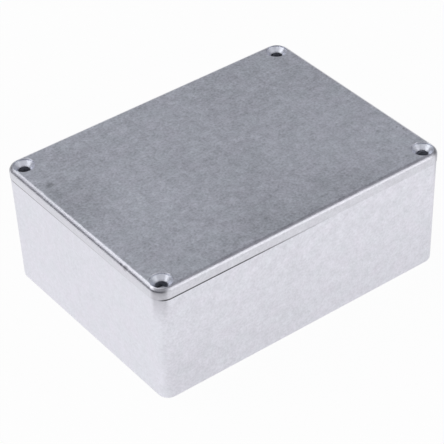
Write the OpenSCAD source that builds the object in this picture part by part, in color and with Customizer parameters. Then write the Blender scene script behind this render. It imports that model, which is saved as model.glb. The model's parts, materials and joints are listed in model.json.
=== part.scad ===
// Die cast aluminium enclosure: a drafted, round-cornered base with a screw-down lid.
// The base stands on its underside. The origin is the middle of that underside, X runs along
// the long sides, Y along the short sides and Z up. All sizes are millimetres.

/* [Box] */
// Overall length, across the widest part of the lid
box_l = 111; // [80:1:200]
// Overall width, across the widest part of the lid
box_w = 83; // [60:1:150]
// Overall height with the lid on
box_h = 44; // [30:1:90]
// Radius of the upright corners, at the widest part of the lid
corner_r = 5; // [4:0.5:6.5]

/* [Base] */
// Thickness of the upright walls
wall_t = 2.3; // [1.6:0.1:3]
// Thickness of the floor
floor_t = 2.4; // [1.6:0.1:4]
// Draft of the base's walls, inside and out, in degrees
base_draft = 1.3; // [0.5:0.1:2]
// Radius of the edge round the underside
foot_r = 1.5; // [0.5:0.1:2]
// Radius of the upright corners inside, at the rim
cavity_r = 3; // [2.5:0.1:4]
// Radius between the floor and the walls, inside
floor_r = 1; // [0.3:0.1:1.2]
// Radius that breaks the rim's outer edge
rim_r = 0.15; // [0.1:0.05:0.6]

/* [Lid] */
// Height of the lid's side, down to the joint
lid_h = 4; // [3.2:0.1:6]
// Thickness of the lid between its edges
lid_t = 2.2; // [1.5:0.1:2.8]
// Radius of the edge round the lid's top
lid_edge_r = 1.8; // [0.5:0.1:2.2]
// Draft of the lid's side, which leans in towards the joint, in degrees
lid_draft = 1.5; // [0.5:0.1:3]
// How far the lid stands out past the base at the joint
lid_overhang = 0.15; // [0:0.05:0.5]
// Radius that breaks the lid's lower edge
lid_foot_r = 0.2; // [0.1:0.05:0.6]
// Radius in the pocket under the lid
pocket_r = 0.8; // [0.3:0.1:1]

/* [Locating lip] */
// Depth that the lip reaches down inside the base
lip_h = 1.8; // [1:0.1:4]
// Thickness of the lip
lip_t = 1.6; // [1:0.1:2.5]
// Gap between the lip and the base's walls and screw posts
lip_gap = 0.15; // [0.1:0.05:0.4]
// Radius that breaks the lip's lower edge
lip_edge_r = 0.4; // [0.1:0.1:0.8]

/* [Screw posts] */
// Distance of each screw from the lid's long and short sides
screw_inset = 4.8; // [4.5:0.1:7]
// Diameter of the posts in the base, and of the pads on the lid that rest on them
post_d = 8; // [7:0.1:10]
// Radius that blends each post into the walls beside it
post_blend_r = 1.5; // [0.8:0.1:2]
// Diameter of the tapped hole in each post
tap_d = 2.75; // [2:0.05:3.3]
// Depth of the tapped hole
tap_depth = 14; // [8:0.5:20]
// Chamfer at the tapped hole's mouth
tap_chamfer = 0.4; // [0.1:0.1:0.8]
// Point angle of the drill that left the hole's blind end
drill_point = 118; // [90:1:140]

/* [Screw holes in the lid] */
// Diameter of the clearance holes
clear_d = 3.8; // [3.4:0.1:4.5]
// Diameter of the recess that the countersink starts from
recess_d = 7; // [6.8:0.1:8]
// Depth of that recess
recess_h = 0.5; // [0.3:0.05:0.8]
// Chamfer round the recess's edge
recess_chamfer = 0.15; // [0.05:0.05:0.25]
// Diameter of the countersink where it meets the recess
sink_d = 6.6; // [6:0.1:6.8]
// Angle of the countersink
sink_angle = 90; // [82:1:100]

/* [Hidden] */
$fn = 72;
casting = [0.79, 0.79, 0.81];
lid_face = [0.68, 0.69, 0.71];
// How far a cut runs past the face that it opens through
through = 1;
// How far a blend bites into the post and the wall, so that it meets both at an angle
blend_bite = 0.02;

// To the nearest thousandth of a millimetre
function micron(x) = round(x * 1000) / 1000;
// How far a wall leans in over a height
function lean(height, draft) = micron(height * tan(draft));

joint_z = box_h - lid_h;
base_inset = lean(lid_h - lid_foot_r - lid_edge_r, lid_draft) + lid_overhang;
rim_size = [box_l - 2 * base_inset, box_w - 2 * base_inset];
cavity_size = rim_size - 2 * [wall_t, wall_t];
lip_size = cavity_size - 2 * [lip_gap, lip_gap];
pocket_size = lip_size - 2 * [lip_t, lip_t];
screw_at = [box_l / 2 - screw_inset, box_w / 2 - screw_inset];
post_r = post_d / 2;
wall_reach = cavity_size / 2 - screw_at;
sink_h = (sink_d - clear_d) / 2 / tan(sink_angle / 2);

// Quarter disc that rounds an outline's corner, downwards or upwards
module quarter_round(centre, r, down) {
    translate(centre) mirror([0, down ? 1 : 0]) intersection() {
        circle(r);
        square(2 * r);
    }
}

// Upright section through a wall, from the middle of a corner out to its widest point. The
// wall leans in towards its foot, and the edges at its foot and head are rounded.
module wall_section(widest, height, draft, foot, head) {
    foot_x = widest - lean(height - foot - head, draft);
    polygon([
        [0, 0],
        [foot_x - foot, 0],
        [foot_x, foot],
        [widest, height - head],
        [widest - head, height],
        [0, height]
    ]);
    if (foot > 0) quarter_round([foot_x - foot, foot], foot, down = true);
    if (head > 0) quarter_round([widest - head, height - head], head, down = false);
}

// Drafted block with upright rounded corners: its section runs straight along the sides and
// turns round the corners. size and corner are those of its widest outline.
module drafted_block(size, height, corner, draft, foot = 0, head = 0) {
    run = size - 2 * [corner, corner];
    translate([-run.x / 2, -run.y / 2, 0]) cube([run.x, run.y, height]);
    for (turn = [0:3]) {
        half = (turn % 2 == 0 ? run : [run.y, run.x]) / 2;
        rotate([0, 0, 90 * turn]) translate(half) {
            rotate([90, 0, 0]) linear_extrude(2 * half.y)
                wall_section(corner, height, draft, foot, head);
            rotate_extrude(angle = 90) wall_section(corner, height, draft, foot, head);
        }
    }
}

// The children, drawn for one corner, at all four
module at_corners() {
    for (x = [0, 1], y = [0, 1])
        mirror([x, 0, 0]) mirror([0, y, 0]) translate(screw_at) children();
}

// Fillet between a round post and a wall that is reach away from its axis
module wall_blend(r, blend, reach) {
    out = reach + blend_bite - blend;
    centre = [out, -sqrt(pow(r + blend - blend_bite, 2) - out * out)];
    behind_wall = reach + through;
    difference() {
        polygon([[0, 0], centre, [behind_wall, centre.y], [behind_wall, 0]]);
        translate(centre) circle(blend);
    }
}

// Plan of a screw post: a round column that fills the corner behind it and has a fillet to
// each of the corner's two walls, which are reach.x and reach.y away from its axis
module post_plan(r, blend, reach) {
    circle(r);
    square(reach + [through, through]);
    wall_blend(r, blend, reach.x);
    mirror([1, -1, 0]) wall_blend(r, blend, reach.y);
}

// Hollow of the base, without the posts
module cavity() {
    height = joint_z - floor_t + through;
    extra = lean(through, base_draft);
    difference() {
        translate([0, 0, floor_t])
            drafted_block(cavity_size + 2 * [extra, extra], height, cavity_r + extra,
                base_draft, floor_r);
        at_corners() linear_extrude(box_h) post_plan(post_r, post_blend_r, wall_reach);
    }
}

// Blind tapped hole in a post, at its minor diameter, with the drill's point
module tapped_hole() {
    r = tap_d / 2;
    point_h = r / tan(drill_point / 2);
    translate([0, 0, joint_z - tap_depth]) rotate_extrude() polygon([
        [0, -point_h],
        [r, 0],
        [r, tap_depth - tap_chamfer],
        [r + tap_chamfer + through, tap_depth + through],
        [0, tap_depth + through]
    ]);
}

module base() color(casting) difference() {
    drafted_block(rim_size, joint_z, corner_r - base_inset, base_draft, foot_r, rim_r);
    cavity();
    at_corners() tapped_hole();
}

// Lip that drops inside the base. Its outer face keeps lip_gap from the walls, and steps
// round the screw posts.
module lip() {
    bottom_z = joint_z - lip_h;
    height = lip_h + lid_h - lid_t / 2;
    extra = lean(height - lip_h, base_draft);
    reach = wall_reach - [lip_gap, lip_gap];
    difference() {
        translate([0, 0, bottom_z])
            drafted_block(lip_size + 2 * [extra, extra], height, cavity_r + extra,
                base_draft, lip_edge_r);
        at_corners() translate([0, 0, bottom_z - through]) linear_extrude(lip_h + through)
            post_plan(post_r + lip_gap, post_blend_r - lip_gap, reach);
    }
}

// Hollow inside the lip and under the lid, with a pad left over each screw post
module pocket() {
    depth = lid_h - lid_t + lip_h + through;
    reach = wall_reach - [lip_gap + lip_t, lip_gap + lip_t];
    difference() {
        translate([0, 0, box_h - lid_t]) mirror([0, 0, 1])
            drafted_block(pocket_size, depth, cavity_r, base_draft, pocket_r);
        at_corners() linear_extrude(box_h)
            post_plan(post_r + lip_gap + lip_t, post_blend_r, reach);
    }
}

// Stepped countersink and clearance hole for one lid screw
module screw_hole() {
    translate([0, 0, box_h]) rotate_extrude() polygon([
        [0, through],
        [recess_d / 2 + recess_chamfer + through, through],
        [recess_d / 2, -recess_chamfer],
        [recess_d / 2, -recess_h],
        [sink_d / 2, -recess_h],
        [clear_d / 2, -recess_h - sink_h],
        [clear_d / 2, -lid_h - through],
        [0, -lid_h - through]
    ]);
}

module lid() color(lid_face) difference() {
    union() {
        translate([0, 0, joint_z])
            drafted_block([box_l, box_w], lid_h, corner_r, lid_draft, lid_foot_r, lid_edge_r);
        lip();
    }
    pocket();
    at_corners() screw_hole();
}

base();
lid();
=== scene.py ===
"""The looks of a die cast aluminium enclosure: bare cast metal, a soft studio and the camera."""

import json
import math

import bmesh
import bpy
from mathutils import Matrix, Vector


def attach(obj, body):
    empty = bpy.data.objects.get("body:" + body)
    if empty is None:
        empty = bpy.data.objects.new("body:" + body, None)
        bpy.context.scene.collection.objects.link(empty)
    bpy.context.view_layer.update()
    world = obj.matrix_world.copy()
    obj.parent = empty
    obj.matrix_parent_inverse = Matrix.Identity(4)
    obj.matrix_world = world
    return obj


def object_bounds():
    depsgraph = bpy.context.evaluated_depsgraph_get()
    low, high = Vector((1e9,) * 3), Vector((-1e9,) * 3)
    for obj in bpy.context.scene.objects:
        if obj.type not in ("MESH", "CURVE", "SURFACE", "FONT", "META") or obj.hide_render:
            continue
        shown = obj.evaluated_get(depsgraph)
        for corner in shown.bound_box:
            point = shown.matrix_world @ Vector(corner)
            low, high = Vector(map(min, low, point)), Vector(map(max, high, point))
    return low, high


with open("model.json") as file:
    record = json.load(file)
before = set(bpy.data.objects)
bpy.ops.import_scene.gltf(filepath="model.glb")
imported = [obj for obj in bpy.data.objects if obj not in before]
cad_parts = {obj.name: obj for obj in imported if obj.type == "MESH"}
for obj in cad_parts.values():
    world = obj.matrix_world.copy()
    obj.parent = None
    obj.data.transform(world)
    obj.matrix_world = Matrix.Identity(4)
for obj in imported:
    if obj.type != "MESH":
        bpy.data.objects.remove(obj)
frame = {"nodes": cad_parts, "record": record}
CAD_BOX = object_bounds()
NODES = frame["nodes"]
MM = 0.001
SCREWS = next(mount for mount in frame["record"]["mounts"] if mount["name"] == "lid_screws")

# Places on the box that its finish follows, in metres
LID_TOP = CAD_BOX[1][2]
JOINT_Z = SCREWS["pos_m"][2]
SCREW_X = SCREWS["dims"]["spacing_x_mm"] / 2 * MM
SCREW_Y = SCREWS["dims"]["spacing_y_mm"] / 2 * MM

# Camera: heading of the picture's right side, elevation and roll in degrees, distance, aim and
# clipping in metres, lens and sensor in millimetres
CAMERA_AZIMUTH = -35.92
CAMERA_ELEVATION = 37.88
CAMERA_ROLL = -2.34
CAMERA_DISTANCE = 0.6465
CAMERA_AIM = Vector((-0.93, 0.74, 18.12)) * MM
CAMERA_LENS = 163.0
CAMERA_SENSOR = 36.0
CAMERA_CLIP = (0.05, 50.0)

# Colours of the metal, paler on the sides than on the faces that look up. The top's darker colour
# # is painted shade: the metal itself is the same all over.
BASE_SIDE = (0.86, 0.86, 0.925)
LID_SIDE = (0.785, 0.785, 0.84)
PAINTED_DARK_TOP = (0.71, 0.73, 0.785)
MACHINED = (0.80, 0.82, 0.885)
# Drift of hue from place to place, as two factors on the colour
GREENER = (0.99, 1.0, 0.995, 1.0)
PINKER = (1.01, 0.995, 1.005, 1.0)

# Grain of the casting: its noises, with scale in features a metre, how far the hue's and each
# node's are moved so that they differ, and what each adds to the shade
CLOUD_NOISE = {"scale": 30.0, "detail": 5.0}
MOTTLE_NOISE = {"scale": 400.0, "detail": 4.0, "roughness": 0.6}
GRAIN_NOISE = {"scale": 1250.0, "detail": 3.0, "roughness": 0.6}
HUE_NOISE = {"scale": 170.0, "detail": 2.0}
HUE_OFFSET = (7.0, 1.0, 4.0)
BASE_SEED = 0.0
LID_SEED = 3.7
CLOUD_SHADE = 0.050
MOTTLE_SHADE = 0.155
GRAIN_SHADE = 0.190
# How much of that shade every face has, and what the long sides and the faces that look up add
SHADE_EVERYWHERE = 0.24
SHADE_ON_LONG_SIDES = 0.16
SHADE_ON_TOP = 0.76

# Roughness of the metal, and the bump that the grain gives it
ROUGHNESS = 0.33
MOTTLE_ROUGHNESS = 0.04
MACHINED_ROUGHNESS = 0.08
GRAIN_IN_BUMP = 0.5
BUMP_STRENGTH = 0.3
BUMP_DISTANCE = 0.03 * MM

# From here to the screw holes, a pair gives the values where an effect is nothing and where it is
# whole, unless its comment says otherwise.
# Parts of the normal that tell the top, the long sides, the front one and the corners
TOP_FACING = (0.90, 0.985)
LONG_SIDE_FACING = (0.5, 0.9)
FRONT_FACING = (-0.6, -0.9)
CORNER_FACING = (0.18, 0.42)
# Least level part, so that dividing by it stays safe where a face looks straight up
LEAST_LEVEL = 0.01

# Painted shade on the long sides, darker towards the foot: its strength at the joint and at the
# # foot, and the foot's height
SIDE_PAINTED_SHADE = (0.03, 0.09)
FOOT_Z = 6 * MM
# Painted shade on the upright corners below the lid's edge and on it. It comes in over the
# # heights, and away from the screw holes, and goes from the first value to the second over the
# # edge's heights.
CORNER_PAINTED_SHADE = (0.28, 0.42)
CORNER_HEIGHTS = (30 * MM, 42 * MM)
CORNER_EDGE_HEIGHTS = (41.6 * MM, 42.6 * MM)
CORNER_FROM_SCREW = (3.4 * MM, 3.8 * MM)

# Joint: painted shadow in the crevice between lid and base. The dark line's reach, where it fades
# # out along the front side, and how dark it is there. On the other sides it darkens from the front
# # to the back.
JOINT_REACH = (0.40 * MM, 0.22 * MM)
JOINT_CLOSES = (18 * MM, -30 * MM)
JOINT_RAGGED = 3 * MM
JOINT_DARK = 0.92
JOINT_FRONT_Y = -38 * MM
JOINT_BACK_Y = 40 * MM
JOINT_BACK_DARK = 0.55

# Screw holes: radii of the machined metal and of the bores, heights of the blind end and of the
# # bore's mouth, and how dark the painted shade in the bores is
MACHINED_RADII = (3.7 * MM, 3.4 * MM)
BORE_RADII = (2.5 * MM, 2.1 * MM)
BLIND_END_HEIGHTS = (20 * MM, 24 * MM)
BORE_MOUTH_HEIGHTS = (42.6 * MM, 42.1 * MM)
BORE_DARK = 0.30

# Scuffs, smudges and pits: x, y and depth below the lid's top, radius, all in millimetres, and the
# change of shade
MARKS = (
    ((12.0, -34.6, 0.0), 1.5, 0.10),
    ((14.3, -36.2, 0.0), 1.2, 0.13),
    ((-50.2, 22.8, 0.0), 1.7, -0.16),
    ((-48.0, 21.4, 0.0), 1.1, -0.12),
    ((52.4, -22.6, 0.0), 0.6, -0.30),
    ((53.4, -24.6, 0.0), 0.6, -0.35),
    ((46.0, -20.5, 0.0), 0.7, -0.20),
    ((22.0, 10.0, 0.0), 2.0, 0.06),
    ((-22.0, -18.0, 0.0), 2.4, -0.06),
    ((30.0, 33.0, 0.0), 1.4, -0.10),
    ((-55.3, -25.0, 0.8), 1.1, -0.28),
    ((-55.3, -22.6, 0.6), 0.6, -0.20),
)
MARK_RAGGED = 0.35
# Broad changes of shade over the lid's top, in the same form
TOP_SHADES = (
    ((-14.0, -46.0, 0.0), 27.0, -0.10),
    ((22.0, -46.0, 0.0), 28.0, -0.12),
    ((-52.0, 10.0, 0.0), 17.0, -0.12),
    ((-26.0, 2.0, 0.0), 30.0, 0.05),
)
TOP_SHADE_RAGGED = 0.15
# Share of its radius within which such a spot is whole
SPOT_CORE = 0.3

# Tapped holes: a No. 6-32 thread. It stands out of the wall by its height and reaches into it by its
# root. The flank is the share of the pitch on each side of the crest, and steps make up one turn.
THREAD_R = SCREWS["dims"]["hole_r_mm"] * MM
THREAD_PITCH = 0.794 * MM
THREAD_HEIGHT = 0.14 * MM
THREAD_ROOT = 0.04 * MM
THREAD_FLANK = 0.4
THREAD_DEPTH = 13.2 * MM
THREAD_STEPS = 28

# The room that the metal reflects: degrees above the horizon, then linear red, green and blue
ROOM_LEVELS = (
    (0.0, 0.10, 0.10, 0.12),
    (22.0, 0.14, 0.14, 0.16),
    (37.0, 0.60, 0.61, 0.64),
    (49.0, 0.22, 0.22, 0.24),
    (65.0, 0.20, 0.20, 0.22),
    (90.0, 0.42, 0.42, 0.44),
)
# Bright parts low down in that room: degrees round, the degrees up between which each fades out,
# and its level. Each also fades in between two cosines of the angle from its heading.
BRIGHT_SIDES = (
    (-60.0, 22.0, 42.0, 0.65),
    (58.0, 12.0, 24.0, 0.62),
)
BRIGHT_COSINES = (0.45, 0.85)

# Floor, in metres, its paint, and how much of it is plain white to the camera and to reflections
FLOOR_SIZE = 12.0
FLOOR_DROP = 0.02 * MM
FLOOR_PAINT = 0.95
FLOOR_SEEN = 0.96
FLOOR_MIRRORED = 0.73

# Softboxes: name, degrees round and up, distance, width and height in metres, and radiance
SOFTBOXES = (
    ("left_above", 116.0, 57.0, 1.2, (0.8, 0.60), 0.98),
    ("left", 160.0, 44.0, 1.3, (0.9, 0.5), 1.15),
    ("front_right", -59.0, 31.0, 1.3, (0.45, 1.1), 0.88),
    ("front_above", -126.0, 58.0, 1.3, (1.0, 0.5), 0.52),
    ("overhead", 140.0, 77.0, 1.3, (0.6, 0.6), 0.90),
)


class Nodes:
    """Short ways to add and join the nodes of one material or world."""

    def __init__(self, tree):
        self.tree = tree
        tree.nodes.clear()

    def put(self, socket, value):
        if isinstance(value, bpy.types.NodeSocket):
            self.tree.links.new(value, socket)
        else:
            socket.default_value = value

    def add(self, kind, **inputs):
        node = self.tree.nodes.new("ShaderNode" + kind)
        for name, value in inputs.items():
            self.put(node.inputs[name.replace("_", " ")], value)
        return node

    def fill(self, node, values):
        """Gives a node's inputs their values, in order."""
        for socket, value in zip(node.inputs, values):
            self.put(socket, value)

    def math(self, operation, *values):
        node = self.add("Math")
        node.operation = operation
        self.fill(node, values)
        return node.outputs[0]

    def total(self, first, *others):
        for value in others:
            first = self.math("ADD", first, value)
        return first

    def product(self, first, *others):
        for value in others:
            first = self.math("MULTIPLY", first, value)
        return first

    def rest(self, value):
        """What value leaves of 1."""
        return self.math("SUBTRACT", 1.0, value)

    def vector(self, operation, *values):
        node = self.add("VectorMath")
        node.operation = operation
        self.fill(node, values)
        return node.outputs["Value" if operation in ("DISTANCE", "DOT_PRODUCT") else "Vector"]

    def noise(self, where, scale, detail, roughness=0.5):
        """Noise around 0, mostly within 1 either way, with about scale features a metre."""
        node = self.add("TexNoise", Vector=where, Scale=scale, Detail=detail, Roughness=roughness)
        return self.remap(node.outputs["Fac"], 0.3, 0.7, -1.0, 1.0, clamp=False)

    def remap(self, value, low, high, to_low, to_high, clamp=True, steps="LINEAR"):
        """Carries the range from low to high over to the one from to_low to to_high."""
        node = self.add("MapRange")
        node.clamp = clamp
        node.interpolation_type = steps
        self.fill(node, (value, low, high, to_low, to_high))
        return node.outputs["Result"]

    def fade(self, value, at_zero, at_one):
        """Soft step from 0, where value is at_zero, to 1, where it is at_one."""
        return self.remap(value, at_zero, at_one, 0.0, 1.0, steps="SMOOTHSTEP")

    def mix(self, factor, first, second, blend="MIX"):
        """Mixes two colours. The node's colours are its inputs 6 and 7 and its output 2."""
        node = self.add("Mix")
        node.data_type = "RGBA"
        node.blend_type = blend
        for index, value in ((0, factor), (6, first), (7, second)):
            self.put(node.inputs[index], value)
        return node.outputs[2]

    def spot(self, where, centre, radius, ragged):
        """1 in the middle of a round place, and 0 outside it, with a ragged edge."""
        away = self.math("DIVIDE", self.vector("DISTANCE", where, centre), radius)
        return self.fade(self.total(away, ragged), 1.0, SPOT_CORE)

    def blend(self, factor, first, second):
        node = self.add("MixShader", Fac=factor)
        self.tree.links.new(first.outputs[0], node.inputs[1])
        self.tree.links.new(second.outputs[0], node.inputs[2])
        return node

    def finish(self, shader, kind="OutputMaterial"):
        self.tree.links.new(shader.outputs[0], self.add(kind).inputs["Surface"])


class Surface:
    """What the finish of the metal depends on at each point: place, facing and noises."""

    def __init__(self, nodes, seed):
        coordinates = nodes.add("TexCoord")
        self.where = coordinates.outputs["Object"]
        self.place = nodes.add("SeparateXYZ", Vector=self.where).outputs
        self.facing = nodes.add("SeparateXYZ", Vector=coordinates.outputs["Normal"]).outputs
        self.upward = nodes.fade(self.facing["Z"], *TOP_FACING)
        self.long_side = nodes.fade(nodes.math("ABSOLUTE", self.facing["Y"]), *LONG_SIDE_FACING)
        in_plan = nodes.vector("MULTIPLY", nodes.vector("ABSOLUTE", self.where), (1, 1, 0))
        self.from_screw = nodes.vector("DISTANCE", in_plan, (SCREW_X, SCREW_Y, 0.0))
        moved = nodes.vector("ADD", self.where, (seed, 2 * seed, 3 * seed))
        self.cloud = nodes.noise(moved, **CLOUD_NOISE)
        self.mottle = nodes.noise(moved, **MOTTLE_NOISE)
        self.grain = nodes.noise(moved, **GRAIN_NOISE)
        self.hue = nodes.noise(nodes.vector("ADD", moved, HUE_OFFSET), **HUE_NOISE)


def new_material(name):
    material = bpy.data.materials.new(name)
    material.use_nodes = True
    return material, Nodes(material.node_tree)


def grey(level):
    return (level, level, level, 1.0)


def on_lid(place):
    """A place that is given as x, y and depth below the lid's top, in millimetres."""
    x, y, depth = place
    return Vector((x * MM, y * MM, LID_TOP - depth * MM))


def casting_grain(nodes, point):
    """Shade of the casting round 1: strong on the faces that look up, faint on the sides."""
    strength = nodes.total(SHADE_EVERYWHERE,
                           nodes.product(point.long_side, SHADE_ON_LONG_SIDES),
                           nodes.product(point.upward, SHADE_ON_TOP))
    shade = nodes.total(nodes.product(point.cloud, CLOUD_SHADE),
                        nodes.product(point.mottle, MOTTLE_SHADE),
                        nodes.product(point.grain, GRAIN_SHADE))
    return nodes.total(1.0, nodes.product(shade, strength))


def add_marks(nodes, point, level):
    """The level with the lid's marks, and with its top's broad changes of shade."""
    ragged = nodes.product(point.mottle, MARK_RAGGED)
    for place, radius, change in MARKS:
        mark = nodes.spot(point.where, on_lid(place), radius * MM, ragged)
        level = nodes.total(level, nodes.product(mark, change))
    ragged = nodes.product(point.cloud, TOP_SHADE_RAGGED)
    for place, radius, change in TOP_SHADES:
        part = nodes.spot(point.where, on_lid(place), radius * MM, ragged)
        level = nodes.total(level, nodes.product(part, point.upward, change))
    return level


def corner_mask(nodes, point):
    """1 on the upright corners near the box's top, and 0 on flat sides and in the screw holes."""
    level_part = nodes.rest(nodes.math("POWER", point.facing["Z"], 2.0))
    level_part = nodes.math("MAXIMUM", level_part, LEAST_LEVEL)
    across = nodes.math("ABSOLUTE", nodes.product(point.facing["X"], point.facing["Y"]))
    return nodes.product(nodes.fade(nodes.math("DIVIDE", across, level_part), *CORNER_FACING),
                         nodes.fade(point.from_screw, *CORNER_FROM_SCREW),
                         nodes.fade(point.place["Z"], *CORNER_HEIGHTS))


def painted_side_shade(nodes, point):
    """Painted shade: the long sides a little darker, most at the foot, and the upright corners near
    the top.
    """
    side_shade = nodes.remap(point.place["Z"], JOINT_Z, FOOT_Z, *SIDE_PAINTED_SHADE)
    corner_shade = nodes.remap(point.place["Z"], *CORNER_EDGE_HEIGHTS, *CORNER_PAINTED_SHADE)
    return nodes.rest(nodes.total(nodes.product(point.long_side, side_shade),
                                  nodes.product(corner_mask(nodes, point), corner_shade)))


def joint_painted_shadow(nodes, point):
    """Painted shadow in the crevice where the lid meets the base. It closes up along the front side.
    """
    from_joint = nodes.math("ABSOLUTE", nodes.math("SUBTRACT", point.place["Z"], JOINT_Z))
    along = nodes.total(point.place["X"], nodes.product(point.mottle, JOINT_RAGGED))
    front = nodes.product(nodes.fade(point.facing["Y"], *FRONT_FACING),
                          nodes.fade(along, *JOINT_CLOSES),
                          JOINT_DARK)
    back = nodes.remap(point.place["Y"], JOINT_FRONT_Y, JOINT_BACK_Y, 0.0, JOINT_BACK_DARK)
    strength = nodes.math("MAXIMUM", front, back)
    return nodes.rest(nodes.product(nodes.fade(from_joint, *JOINT_REACH), strength))


def hole_mask(nodes, point, radii):
    """1 within the radii of each screw, down to the blind end of its hole, and 0 elsewhere."""
    return nodes.product(nodes.fade(point.from_screw, *radii),
                         nodes.fade(point.place["Z"], *BLIND_END_HEIGHTS))


def bore_painted_shade(nodes, point):
    """Painted shade inside the screw holes, from the blind end up to the countersink's narrow end.
    """
    inside = nodes.product(hole_mask(nodes, point, BORE_RADII),
                           nodes.fade(point.place["Z"], *BORE_MOUTH_HEIGHTS))
    return nodes.rest(nodes.product(inside, BORE_DARK))


def metal_colour(nodes, point, side, machined):
    """Colour of the clean metal, by which way it faces and where it was machined. The darker
    colour of the faces that look up is painted shade.
    """
    tone = nodes.mix(point.upward, (*side, 1.0), (*PAINTED_DARK_TOP, 1.0))
    tone = nodes.mix(machined, tone, (*MACHINED, 1.0))
    drift = nodes.mix(nodes.remap(point.hue, -1.0, 1.0, 0.0, 1.0), GREENER, PINKER)
    return nodes.mix(1.0, tone, drift, "MULTIPLY")


def cast_metal(name, side, seed):
    """Bare die cast aluminium. The faces that look up are mottled and painted darker as shade, the
    upright ones pale with a faint dapple. Painted shade darkens the long sides towards the foot, the
    upright corners and the bores, and painted shadow darkens the joint."""
    material, nodes = new_material(name)
    point = Surface(nodes, seed)
    machined = hole_mask(nodes, point, MACHINED_RADII)
    level = add_marks(nodes, point, casting_grain(nodes, point))
    # Painted shade on the long sides, the upright corners and the bores, and painted shadow in the
    # joint
    level = nodes.product(level, painted_side_shade(nodes, point), joint_painted_shadow(nodes, point),
                          bore_painted_shade(nodes, point))
    shade = nodes.add("CombineColor", Red=level, Green=level, Blue=level).outputs["Color"]
    colour = nodes.mix(1.0, metal_colour(nodes, point, side, machined), shade, "MULTIPLY")
    roughness = nodes.total(ROUGHNESS,
                            nodes.product(point.mottle, MOTTLE_ROUGHNESS),
                            nodes.product(machined, MACHINED_ROUGHNESS))
    height = nodes.total(nodes.product(point.grain, GRAIN_IN_BUMP), point.mottle)
    bump = nodes.add("Bump", Strength=BUMP_STRENGTH, Distance=BUMP_DISTANCE, Height=height)
    metal = nodes.add("BsdfPrincipled", Base_Color=colour, Metallic=1.0, Roughness=roughness,
                      Normal=bump.outputs["Normal"])
    nodes.finish(metal)
    return material


def dress(node, material):
    """Gives a CAD node its material; its mesh stays as it is."""
    piece = NODES[node]
    for slot in piece.material_slots:
        slot.material = material
    if not piece.material_slots:
        piece.data.materials.append(material)


def thread_section(mesh, x, y, step, last):
    """The thread's triangle at one step up its helix, lower at both ends, as three points."""
    angle = 2 * math.pi * step / THREAD_STEPS
    z = JOINT_Z - THREAD_DEPTH + THREAD_PITCH * step / THREAD_STEPS
    taper = min(1.0, (step + 1) / THREAD_STEPS, (last + 1 - step) / THREAD_STEPS)
    root = THREAD_R + THREAD_ROOT
    crest = THREAD_R - THREAD_HEIGHT * taper
    return [mesh.verts.new((x + radius * math.cos(angle), y + radius * math.sin(angle),
                            z + rise * THREAD_PITCH))
            for radius, rise in ((root, -THREAD_FLANK), (crest, 0.0), (root, THREAD_FLANK))]


def make_thread(name, x, y, material):
    """Ridge of a screw thread, wound up the wall of one tapped hole and tapered at both ends."""
    last = int(THREAD_DEPTH / THREAD_PITCH) * THREAD_STEPS
    mesh = bmesh.new()
    sections = [thread_section(mesh, x, y, step, last) for step in range(last + 1)]
    for low, high in zip(sections, sections[1:]):
        for side in range(3):
            after = (side + 1) % 3
            mesh.faces.new((low[side], low[after], high[after], high[side]))
    mesh.faces.new(sections[0][::-1])
    mesh.faces.new(sections[-1])
    bmesh.ops.recalc_face_normals(mesh, faces=mesh.faces)
    data = bpy.data.meshes.new(name)
    mesh.to_mesh(data)
    mesh.free()
    data.materials.append(material)
    piece = bpy.data.objects.new(name, data)
    bpy.context.scene.collection.objects.link(piece)
    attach(piece, "root")


def floor_white():
    """White paint, most of which is plain white to the camera and to reflections."""
    material, nodes = new_material("floor_white")
    path = nodes.add("LightPath").outputs
    mirrored = nodes.math("MAXIMUM", path["Is Glossy Ray"], path["Is Transmission Ray"])
    white = nodes.math("MAXIMUM", nodes.product(path["Is Camera Ray"], FLOOR_SEEN),
                       nodes.product(mirrored, FLOOR_MIRRORED))
    paint = nodes.add("BsdfDiffuse", Color=grey(FLOOR_PAINT))
    plain = nodes.add("Emission", Color=grey(1.0), Strength=1.0)
    nodes.finish(nodes.blend(white, paint, plain))
    return material


def make_floor():
    """White floor that runs out of sight, and keeps a faint shadow under the box."""
    bpy.ops.mesh.primitive_plane_add(size=FLOOR_SIZE, location=(0.0, 0.0, -FLOOR_DROP))
    floor = bpy.context.object
    floor.name = "floor"
    floor.data.materials.append(floor_white())


def sine(degrees):
    return math.sin(math.radians(degrees))


def heading(azimuth, elevation=0.0):
    """Unit vector in a direction, given in degrees round from +X and up."""
    turn = math.radians(azimuth)
    rise = math.radians(elevation)
    level = math.cos(rise)
    return Vector((math.cos(turn) * level, math.sin(turn) * level, math.sin(rise)))


def room_ramp(nodes, up):
    """Colour of the room by the sine of the elevation."""
    ramp = nodes.add("ValToRGB", Fac=up)
    stops = ramp.color_ramp.elements
    stops[1].position = sine(ROOM_LEVELS[-1][0])
    stops[1].color = (*ROOM_LEVELS[-1][1:], 1.0)
    stops[0].color = (*ROOM_LEVELS[0][1:], 1.0)
    for elevation, *colour in ROOM_LEVELS[1:-1]:
        stops.new(sine(elevation)).color = (*colour, 1.0)
    return ramp.outputs["Color"]


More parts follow.
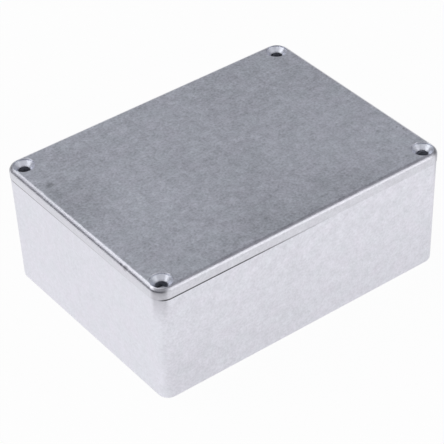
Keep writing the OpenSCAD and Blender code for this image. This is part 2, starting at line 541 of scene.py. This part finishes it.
def make_world():
    """Pale studio, dim low down apart from two bright sides, and plain white to the camera."""
    world = bpy.data.worlds.new("studio")
    bpy.context.scene.world = world
    world.use_nodes = True
    nodes = Nodes(world.node_tree)
    direction = nodes.add("TexCoord").outputs["Generated"]
    up = nodes.add("SeparateXYZ", Vector=direction).outputs["Z"]
    colour = room_ramp(nodes, up)
    for azimuth, full, end, level in BRIGHT_SIDES:
        towards = nodes.vector("DOT_PRODUCT", direction, heading(azimuth))
        bright = nodes.product(nodes.fade(towards, *BRIGHT_COSINES),
                               nodes.fade(up, sine(end), sine(full)))
        colour = nodes.mix(bright, colour, grey(level))
    room = nodes.add("Background", Color=colour, Strength=1.0)
    white = nodes.add("Background", Color=grey(1.0), Strength=1.0)
    seen = nodes.add("LightPath").outputs["Is Camera Ray"]
    nodes.finish(nodes.blend(seen, room, white), "OutputWorld")


def softbox(name, azimuth, elevation, distance, size, radiance):
    """Rectangular lamp in the direction given, facing the box."""
    light = bpy.data.lights.new(name, "AREA")
    light.shape = "RECTANGLE"
    light.size, light.size_y = size
    light.energy = radiance * math.pi * size[0] * size[1]
    lamp = bpy.data.objects.new(name, light)
    bpy.context.scene.collection.objects.link(lamp)
    out = heading(azimuth, elevation)
    lamp.location = out * distance
    lamp.rotation_euler = out.to_track_quat("Z", "Y").to_euler()


def make_camera():
    """Camera on a level orbit round the aim point, then rolled about its own axis."""
    data = bpy.data.cameras.new("camera")
    data.sensor_width = CAMERA_SENSOR
    data.lens = CAMERA_LENS
    data.clip_start, data.clip_end = CAMERA_CLIP
    camera = bpy.data.objects.new("camera", data)
    bpy.context.scene.collection.objects.link(camera)
    back = heading(CAMERA_AZIMUTH - 90.0, CAMERA_ELEVATION)
    right = heading(CAMERA_AZIMUTH)
    axes = Matrix((right, back.cross(right), back)).transposed()
    turn = axes @ Matrix.Rotation(math.radians(CAMERA_ROLL), 3, "Z")
    camera.matrix_world = Matrix.Translation(CAMERA_AIM + back * CAMERA_DISTANCE) @ turn.to_4x4()
    bpy.context.scene.camera = camera


base_metal = cast_metal("base_cast", BASE_SIDE, BASE_SEED)
dress("base", base_metal)
dress("lid", cast_metal("lid_cast", LID_SIDE, LID_SEED))
for number, (side_x, side_y) in enumerate(((-1, -1), (1, -1), (1, 1), (-1, 1)), 1):
    make_thread(f"thread_{number}", side_x * SCREW_X, side_y * SCREW_Y, base_metal)
make_floor()
make_world()
for box in SOFTBOXES:
    softbox(*box)
make_camera()
bpy.context.scene.view_settings.view_transform = "Standard"
